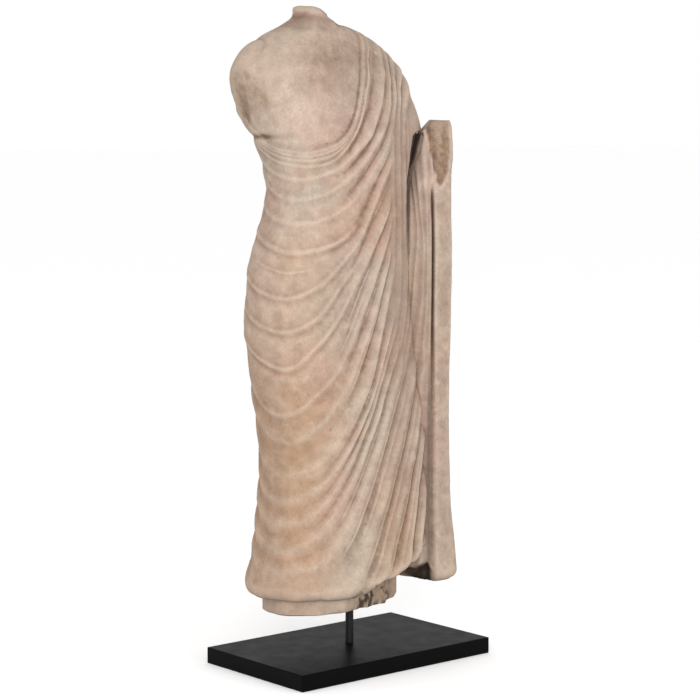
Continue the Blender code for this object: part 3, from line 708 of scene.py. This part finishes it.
def carving_of(mesh):
    """How far each vertex stands out of its blurred surroundings along its normal, near and wide added
    together: 0 in a groove, 0.5 where it is flat and 1 on a ridge."""
    place, normal = np.empty(len(mesh.vertices) * 3), np.empty(len(mesh.vertices) * 3)
    ends = np.empty(len(mesh.edges) * 2, int)
    mesh.vertices.foreach_get("co", place)
    mesh.vertices.foreach_get("normal", normal)
    mesh.edges.foreach_get("vertices", ends)
    place, normal, ends = place.reshape(-1, 3) / MILLIMETRE, normal.reshape(-1, 3), ends.reshape(-1, 2)
    near = blurred(place, ends, NEAR_STEPS)
    wide = blurred(near, ends, WIDE_STEPS)
    narrow_part, wide_part = (((place - other) * normal).sum(axis=1) for other in (near, wide))
    return np.clip(0.5 + narrow_part / NARROW_CARVING + wide_part / WIDE_CARVING, 0, 1)


def patches(rows, fields):
    """Sum of the rows of a table of patches: each row's strength times its bell curve across the view, if
    it has one, and times a smooth step of every field that limits it."""
    total = 0
    for strength, band, *limits in rows:
        patch = strength * (1 if band is None else ridge(fields["aside"] - band[0], band[1]))
        for field, start, full in limits:
            patch = patch * smooth(start, full, fields[field])
        total = total + patch
    return total


def bearing_from(centre, place):
    """Angle in degrees of each place about an upright axis: 0 in front and 90 on the figure's left."""
    return np.degrees(np.arctan2(place[:, 0] - centre[0], centre[1] - place[:, 1]))


def stone_attributes(mesh):
    """What the stone's colours follow, from 0 to 1 at each vertex: carving, with dirt and painted shade in its
    grooves, wear and painted highlight on its ridges and a painted highlight on the lobe beside the recess;
    broken faces; painted shade in the recess, the niche, the groove bands, under the hem and in the broken
    front's holes; umber for painted shade on the figure's right side, the upper chest and shoulders and the
    under-robe's foot, for a brown tint and painted shade on the upright folds and the cloth's strip side, and
    for the broken front; and the ochre earth stain that grows down the figure's right side."""
    place = np.empty(len(mesh.vertices) * 3)
    mesh.vertices.foreach_get("co", place)
    place = place.reshape(-1, 3) / MILLIMETRE - [0, 0, FOOT_HEIGHT / MILLIMETRE]
    left, height = place[:, 0], place[:, 2]
    distance = aside(left, place[:, 1])
    fields = {"aside": distance, "left": left, "height": height}
    neck = smooth(*NECK_BAND, height - neck_break(place)) * (height > NECK_BASE)
    middle, bearing = ANKLES[:2], bearing_from(ANKLES[:2], place)
    on_body = left < CLOTH_LEFT
    chip = (1 - smooth(*CHIP_HEIGHTS, height)) * chipped(bearing) * on_body
    chip = chip * (np.hypot(left - middle[0], place[:, 1] - middle[1]) > CHIP_BEGINS)
    hem = ridge(height - np.interp(bearing, *np.array(HEM, float).T), HEM_LINE) * on_body
    rough = np.clip(ARM_BROKEN * arm_break(place) + NECK_BROKEN * neck + fracture(place) + chip, 0, 1)
    pleats, earth = patches(BROWN_AND_SHADE_PLEATS, fields), np.clip(patches(EARTH_STAIN, fields), 0, 1)
    carved = (carving_of(mesh) - 0.5) * (1 - CARVING_IN_BREAK * rough)
    stained = CARVING_IN_EARTH * earth * smooth(*EARTH_HIDES, distance)
    carved *= 1 - CARVING_IN_PLEATS * pleats * smooth(*PLEATS_HIDE, height) - stained
    # Painted highlight on the lobe beside the recess.
    carved += patches(PAINTED_HIGHLIGHT_LOBE, fields) * (left > LOBE_LEFT)
    # Painted shade, near black: in the recess by its depth, in the niche, in the groove bands, as a line under
    # the hem and in the broken front's holes.
    hollow = recess(distance, height) / RECESS_FULL_SHADE * smooth(*RECESS_LEFT, left)
    hollow += niche(bearing_from(SLEEVE[-1][1:3], place), distance, height) * patches(SHADE_NICHE, fields)
    hollow += patches(SHADE_GROOVES, fields)
    hollow += HOLE_SHADE * chip * smooth(*CHIP_HOLES, cloudy(place, CHIP_PITS, seed=21)) + HEM_SHADE * hem
    # Umber patches: mostly painted shade, with a brown tint on the upright folds and the cloth's strip side,
    # and the broken front's own colour.
    tint_and_shade = pleats + patches(SHADE_AND_TINT_PATCHES, fields) + chip
    return {"carving": 0.5 + carved, "fracture": rough, "hollow": np.clip(hollow, 0, 1),
            "tint_and_shade": np.clip(tint_and_shade / TINT_AND_SHADE_FULL, 0, 1), "earth": earth}


figure.data.shade_smooth()
figure.data.set_sharp_from_angle(angle=math.radians(SHARP_ANGLE))
for attribute, values in stone_attributes(figure.data).items():
    figure.data.attributes.new(attribute, "FLOAT", "POINT").data.foreach_set("value", values)


def shader_of(name):
    """A new node material and its surface shader."""
    made = bpy.data.materials.new(name)
    made.use_nodes = True
    return made, made.node_tree.nodes["Principled BSDF"]


def put(tree, kind, **settings):
    """A node with its settings: named sockets are set or, when given a socket, linked, and the rest are
    properties."""
    node = tree.nodes.new(kind)
    for key, value in settings.items():
        place = node.inputs.get(key.replace("_", " ").title())
        if place is None:
            setattr(node, key, value)
        elif isinstance(value, bpy.types.NodeSocket):
            tree.links.new(value, place)
        else:
            place.default_value = value
    return node


def noise(tree, scale, detail=4.0, roughness=0.55):
    """Cloudy noise on the object's own coordinates, with scale features a metre."""
    where = put(tree, "ShaderNodeTexCoord").outputs["Object"]
    return put(tree, "ShaderNodeTexNoise", vector=where, scale=scale, detail=detail,
               roughness=roughness).outputs["Fac"]


def ramp(tree, value, *stops):
    """A colour or grey that follows a value through stops of place and colour."""
    node = put(tree, "ShaderNodeValToRGB")
    tree.links.new(value, node.inputs["Fac"])
    while len(node.color_ramp.elements) < len(stops):
        node.color_ramp.elements.new(0.5)
    for element, (place, colour) in zip(node.color_ramp.elements, stops):
        element.position = place
        element.color = (*colour, 1) if isinstance(colour, tuple) else (colour, colour, colour, 1)
    return node.outputs["Color"]


def over(tree, below, above, amount, how="MIX"):
    """Colour above laid on colour below by an amount, which is a number or a socket."""
    node = tree.nodes.new("ShaderNodeMix")
    node.data_type, node.blend_type = "RGBA", how
    for place, value in ((0, amount), (6, below), (7, above)):
        if isinstance(value, bpy.types.NodeSocket):
            tree.links.new(value, node.inputs[place])
        else:
            node.inputs[place].default_value = (*value, 1) if isinstance(value, tuple) else value
    return node.outputs[2]


SAND, PINK, OCHRE = (0.42, 0.345, 0.272), (0.42, 0.292, 0.238), (0.385, 0.235, 0.135)
# The umber is a brown tint and painted shade, the cream wear and painted highlight, the groove colour dirt and
# painted shade, and the black painted shade.
GREY, UMBER_TINT_AND_SHADE, WORN_AND_LIT_CREAM = (0.35, 0.305, 0.26), (0.27, 0.18, 0.135), (0.57, 0.46, 0.365)
BREAK_BROWN, BREAK_DARK = (0.30, 0.19, 0.11), (0.075, 0.05, 0.035)
GROOVE_DIRT_AND_SHADE, PAINTED_SHADE_BLACK = (0.14, 0.07, 0.038), (0.014, 0.008, 0.005)

stone, shader = shader_of("carved_stone")
tree = stone.node_tree
tone, broken, hollow, tint_and_shade, earth = (
    put(tree, "ShaderNodeAttribute", attribute_name=name).outputs["Fac"]
    for name in ("carving", "fracture", "hollow", "tint_and_shade", "earth")
)
colour = over(tree, SAND, PINK, ramp(tree, noise(tree, 9), (0.40, 0.0), (0.60, 1.0)))
colour = over(tree, colour, GREY, ramp(tree, noise(tree, 13), (0.55, 0.0), (0.75, 0.7)))
colour = over(tree, colour, OCHRE, ramp(tree, noise(tree, 6.3), (0.50, 0.0), (0.68, 0.6)))
colour = over(tree, colour, OCHRE, ramp(tree, earth, (0.0, 0.0), (1.0, 0.8)))
# Umber laid by the tint-and-shade attribute: painted shade on the sides, upper chest, shoulders and the
# under-robe's foot, a brown tint and painted shade on the upright folds and the cloth's strip side, and the
# broken front's colour.
colour = over(tree, colour, UMBER_TINT_AND_SHADE, ramp(tree, tint_and_shade, (0.0, 0.0), (1.0, 0.66)))
rubble = over(tree, BREAK_BROWN, BREAK_DARK, ramp(tree, noise(tree, 110, 6, 0.7), (0.42, 0.0), (0.62, 0.8)))
colour = over(tree, colour, rubble, ramp(tree, broken, (0.0, 0.0), (1.0, 0.75)))
# Dirt and painted shade in the carving's grooves, darker the deeper the groove.
colour = over(tree, colour, GROOVE_DIRT_AND_SHADE, ramp(tree, tone, (0.05, 0.80), (0.30, 0.32), (0.48, 0.0)))
# Wear and painted highlight on the carving's ridges, and a painted highlight on the lobe beside the recess.
colour = over(tree, colour, WORN_AND_LIT_CREAM, ramp(tree, tone, (0.53, 0.0), (0.92, 0.55)))
# Painted shade: near black in the recess, the niche, the groove bands, under the hem and in the broken front's
# holes.
colour = over(tree, colour, PAINTED_SHADE_BLACK, ramp(tree, hollow, (0.1, 0.0), (0.9, 0.95)))
mottle = ramp(tree, noise(tree, 60, 5, 0.6), (0.32, 0.80), (0.62, 1.0))
colour = over(tree, colour, mottle, 1.0, "MULTIPLY")
speckle = ramp(tree, noise(tree, 420, 6, 0.7), (0.30, 0.78), (0.70, 1.0))
colour = over(tree, colour, speckle, 1.0, "MULTIPLY")
tree.links.new(colour, shader.inputs["Base Color"])
shader.inputs["Roughness"].default_value = 0.88
shader.inputs["Specular IOR Level"].default_value = 0.25
grain = put(tree, "ShaderNodeBump", height=noise(tree, 300, 8, 0.7), strength=0.35, distance=0.0006)
tree.links.new(grain.outputs["Normal"], shader.inputs["Normal"])
figure.data.materials.clear()
figure.data.materials.append(stone)
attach(figure, "root")
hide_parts("draped_figure")

# Mounting rod.
# A thin round steel bar, blackened, that stands in the plinth and ends in the figure's socket.
steel, shader = shader_of("blackened_steel")
tree = steel.node_tree
shader.inputs["Base Color"].default_value = (0.018, 0.017, 0.017, 1)
shader.inputs["Metallic"].default_value = 0.6
tree.links.new(ramp(tree, noise(tree, 160), (0.3, 0.38), (0.7, 0.52)), shader.inputs["Roughness"])
shader.inputs["Specular IOR Level"].default_value = 0.3
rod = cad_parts["mounting_rod"]
rod.data.materials.clear()
rod.data.materials.append(steel)

# Plinth.
# A flat rectangular board with slightly eased edges, painted satin black.
paint, shader = shader_of("black_lacquer")
tree = paint.node_tree
shader.inputs["Base Color"].default_value = (0.002, 0.002, 0.002, 1)
shader.inputs["Specular IOR Level"].default_value = 0.035
tree.links.new(ramp(tree, noise(tree, 45), (0.3, 0.38), (0.7, 0.46)), shader.inputs["Roughness"])
grain = put(tree, "ShaderNodeBump", height=noise(tree, 500, 6), strength=0.15, distance=0.0003)
tree.links.new(grain.outputs["Normal"], shader.inputs["Normal"])
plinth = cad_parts["plinth"]
plinth.data.materials.clear()
plinth.data.materials.append(paint)

# Studio.
# A plain pale floor, a soft key light from the camera's left, a weaker one from the right, and the camera.
FLOOR_HALF, LIGHT_TARGET = 40.0, (0, 0, 0.42)
floor_mesh = bpy.data.meshes.new("floor")
corners = [(x * FLOOR_HALF, y * FLOOR_HALF, 0) for x, y in ((-1, -1), (1, -1), (1, 1), (-1, 1))]
floor_mesh.from_pydata(corners, [], [(0, 1, 2, 3)])
floor = bpy.data.objects.new("floor", floor_mesh)
bpy.context.scene.collection.objects.link(floor)
pale, shader = shader_of("pale_floor")
shader.inputs["Base Color"].default_value = (0.99, 0.99, 0.99, 1)
shader.inputs["Roughness"].default_value = 0.9
floor_mesh.materials.append(pale)


def aimed(obj, place, target):
    """Links an object at a place, looking at the target."""
    bpy.context.scene.collection.objects.link(obj)
    obj.location = place
    obj.rotation_euler = (Vector(target) - Vector(place)).to_track_quat("-Z", "Y").to_euler()
    return obj


def softbox(name, place, size, watts):
    """A square area light aimed at the middle of the figure."""
    light = bpy.data.lights.new(name, "AREA")
    light.size, light.energy = size, watts
    return aimed(bpy.data.objects.new(name, light), place, LIGHT_TARGET)


softbox("key_light", (-2.1, -2.4, 1.1), 1.2, 52)
softbox("fill_light", (0.4, -2.9, 0.9), 1.6, 12)
world = bpy.data.worlds.new("studio")
world.use_nodes = True
world.node_tree.nodes["Background"].inputs["Color"].default_value = (1, 1, 1, 1)
world.node_tree.nodes["Background"].inputs["Strength"].default_value = 1.0
bpy.context.scene.world = world
bpy.context.scene.view_settings.view_transform = "Standard"

# The camera that was fitted to the plinth's corners in the photograph
CAMERA_AZIMUTH, CAMERA_PITCH = math.radians(-40.24), math.radians(5.95)
CAMERA_PLACE, CAMERA_LENS, SENSOR_WIDTH = (-1.7247441, -2.03922167, 0.66167334), 113.14, 36
view = bpy.data.cameras.new("camera")
view.lens, view.sensor_width = CAMERA_LENS, SENSOR_WIDTH
view.clip_start, view.clip_end = 0.05, 200
camera = bpy.data.objects.new("camera", view)
bpy.context.scene.collection.objects.link(camera)
camera.location = CAMERA_PLACE
camera.rotation_euler = (math.pi / 2 - CAMERA_PITCH, 0, CAMERA_AZIMUTH)
bpy.context.scene.camera = camera
